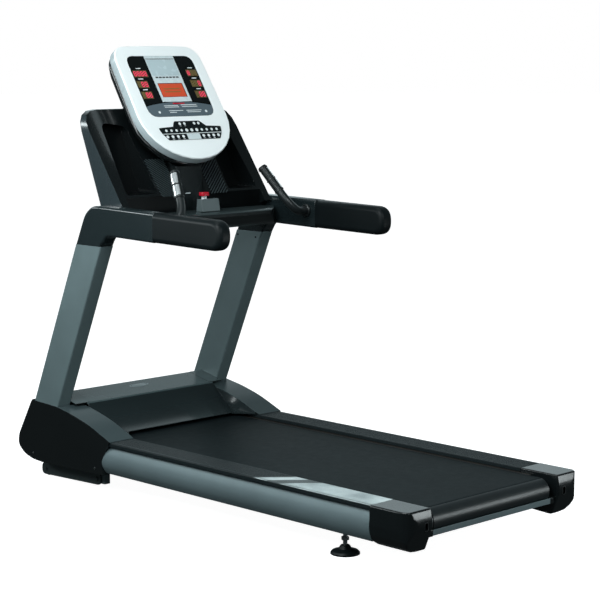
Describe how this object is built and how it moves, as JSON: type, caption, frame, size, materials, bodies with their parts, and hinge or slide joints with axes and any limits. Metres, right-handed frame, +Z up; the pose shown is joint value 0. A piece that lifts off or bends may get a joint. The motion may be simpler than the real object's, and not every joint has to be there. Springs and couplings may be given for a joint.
{
  "type": "treadmill",
  "caption": "Motorised treadmill with a powered incline: leaning uprights, long handrails, pulse bars, tray console and a tilted display head.",
  "frame": {"origin": "on the floor, under the middle of the overall length and width", "axes": "+X to the user's right, +Y the way the user faces towards the console, +Z up"},
  "size_m": [0.83, 1.938, 1.5708],
  "materials": {
    "frame_paint": "satin gunmetal powder coat",
    "trim_aluminium": "satin anodised",
    "machined_steel": "turned",
    "chrome_plate": "polished",
    "black_gloss": "gloss",
    "black_plastic": "satin",
    "grey_plastic": "satin",
    "white_plastic": "gloss",
    "grip_rubber": "matte",
    "belt_rubber": "fine dimpled",
    "deck_laminate": "waxed laminate",
    "motor_casing": "satin black",
    "red_plastic": "gloss",
    "lcd_orange": "back-lit screen",
    "circuit_board": "solder resist"
  },
  "bodies": {
    "chassis": {"frame_rail_right": "frame_paint", "frame_rail_left": "frame_paint", "deck_crossbar": "frame_paint", "motor_tray": "frame_paint", "upright_right": "frame_paint", "upright_left": "frame_paint", "side_profile_right": "trim_aluminium", "side_profile_left": "trim_aluminium", "rear_beam": "trim_aluminium", "motor_controller": "trim_aluminium", "foot_stem_right": "machined_steel", "foot_stem_left": "machined_steel", "rear_axle": "machined_steel", "pulse_sensor_right": "chrome_plate", "pulse_sensor_left": "chrome_plate", "rear_cap_right": "black_gloss", "rear_cap_left": "black_gloss", "front_cover": "black_gloss", "side_cover_right": "black_gloss", "side_cover_left": "black_gloss", "console_shell": "black_gloss", "head_housing": "black_gloss", "display_overlay": "black_gloss", "foot_rail_right": "black_plastic", "foot_rail_left": "black_plastic", "power_inlet": "black_plastic", "console_crossbar": "black_plastic", "console_back_cover": "black_plastic", "console_mast": "black_plastic", "motor_hood": "grey_plastic", "fairing_right": "grey_plastic", "fairing_left": "grey_plastic", "key_holder": "grey_plastic", "handrail_elbow_right": "grey_plastic", "handrail_elbow_left": "grey_plastic", "console_bezel": "white_plastic", "deck_cushion_right": "grip_rubber", "deck_cushion_left": "grip_rubber", "handrail_grip_right": "grip_rubber", "handrail_grip_left": "grip_rubber", "pulse_grip_right": "grip_rubber", "pulse_grip_left": "grip_rubber", "keypad": "grip_rubber", "running_belt": "belt_rubber", "drive_belt": "belt_rubber", "deck_board": "deck_laminate", "drive_motor": "motor_casing", "lcd_screen": "lcd_orange", "console_board": "circuit_board"},
    "rear_feet": {"foot_pad_right": "grip_rubber", "foot_pad_left": "grip_rubber"},
    "lift": {"lift_frame": "frame_paint"},
    "wheel_right": {"wheel_right": "black_plastic"},
    "wheel_left": {"wheel_left": "black_plastic"},
    "front_roller": {"front_roller": "machined_steel"},
    "rear_roller": {"rear_roller": "machined_steel"},
    "motor_rotor": {"motor_pulley": "machined_steel"},
    "incline_actuator": {"incline_actuator": "black_plastic"},
    "incline_screw": {"incline_screw": "machined_steel"},
    "safety_key": {"safety_key": "red_plastic"}
  },
  "joints": [
    {"name": "incline", "type": "hinge", "parent": "rear_feet", "child": "chassis", "pos_m": [0, -0.634, 0.02], "axis": [1, 0, 0], "range_deg": [0, 6.84]},
    {"name": "lift_swing", "type": "hinge", "parent": "chassis", "child": "lift", "pos_m": [0, 0.585, 0.037], "axis": [1, 0, 0], "range_deg": [-36.1, 0]},
    {"name": "wheel_right_spin", "type": "hinge", "parent": "lift", "child": "wheel_right", "pos_m": [0.334, 0.885, 0.026], "axis": [1, 0, 0], "continuous": true},
    {"name": "wheel_left_spin", "type": "hinge", "parent": "lift", "child": "wheel_left", "pos_m": [-0.334, 0.885, 0.026], "axis": [1, 0, 0], "continuous": true},
    {"name": "front_roller_spin", "type": "hinge", "parent": "chassis", "child": "front_roller", "pos_m": [0, 0.611, 0.146], "axis": [1, 0, 0], "continuous": true},
    {"name": "rear_roller_spin", "type": "hinge", "parent": "chassis", "child": "rear_roller", "pos_m": [0, -0.909, 0.146], "axis": [1, 0, 0], "continuous": true},
    {"name": "motor_spin", "type": "hinge", "parent": "chassis", "child": "motor_rotor", "pos_m": [-0.275, 0.791, 0.172], "axis": [1, 0, 0], "continuous": true},
    {"name": "actuator_swing", "type": "hinge", "parent": "chassis", "child": "incline_actuator", "pos_m": [0.1, 0.726, 0.24], "axis": [1, 0, 0], "range_deg": [-12.3, 0]},
    {"name": "screw_reach", "type": "slide", "parent": "incline_actuator", "child": "incline_screw", "axis": [0, 0.3363, -0.9417], "range_m": [0, 0.119]},
    {"name": "safety_key_pull", "type": "slide", "parent": "chassis", "child": "safety_key", "axis": [0, 0, 1], "range_m": [0, 0.03]}
  ],
  "couplings": [
    {"joint": "lift_swing", "follows": "incline", "ratio": -5.272},
    {"joint": "actuator_swing", "follows": "incline", "ratio": -1.79},
    {"joint": "screw_reach", "follows": "incline", "m_per_rad": 0.991},
    {"joint": "rear_roller_spin", "follows": "front_roller_spin", "ratio": 1},
    {"joint": "motor_spin", "follows": "front_roller_spin", "ratio": 1.7857}
  ]
}
